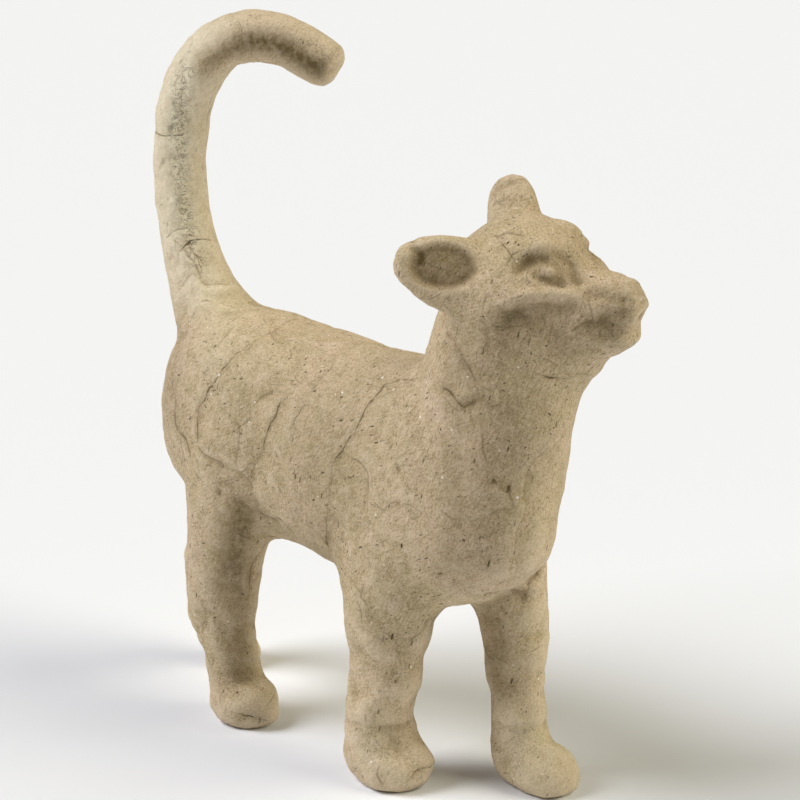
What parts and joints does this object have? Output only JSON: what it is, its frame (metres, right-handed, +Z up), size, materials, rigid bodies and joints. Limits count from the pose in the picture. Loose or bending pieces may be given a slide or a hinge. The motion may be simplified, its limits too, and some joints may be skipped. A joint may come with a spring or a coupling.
{
  "type": "cat figurine",
  "caption": "Small papier-mache cat, walking on four straight legs, with a turned head and a tail hooked forward over its back. Bare brown paper, made to be painted.",
  "frame": {"origin": "floor level, under the middle of the figure's length and width", "axes": "+Z up, the cat looks towards -Y, and its left side is towards +X"},
  "size_m": [0.0292, 0.0968, 0.1142],
  "materials": {
    "kraft_paper": "matt bare recycled kraft paper"
  },
  "bodies": {
    "root": {"cat": "kraft_paper"}
  },
  "joints": []
}
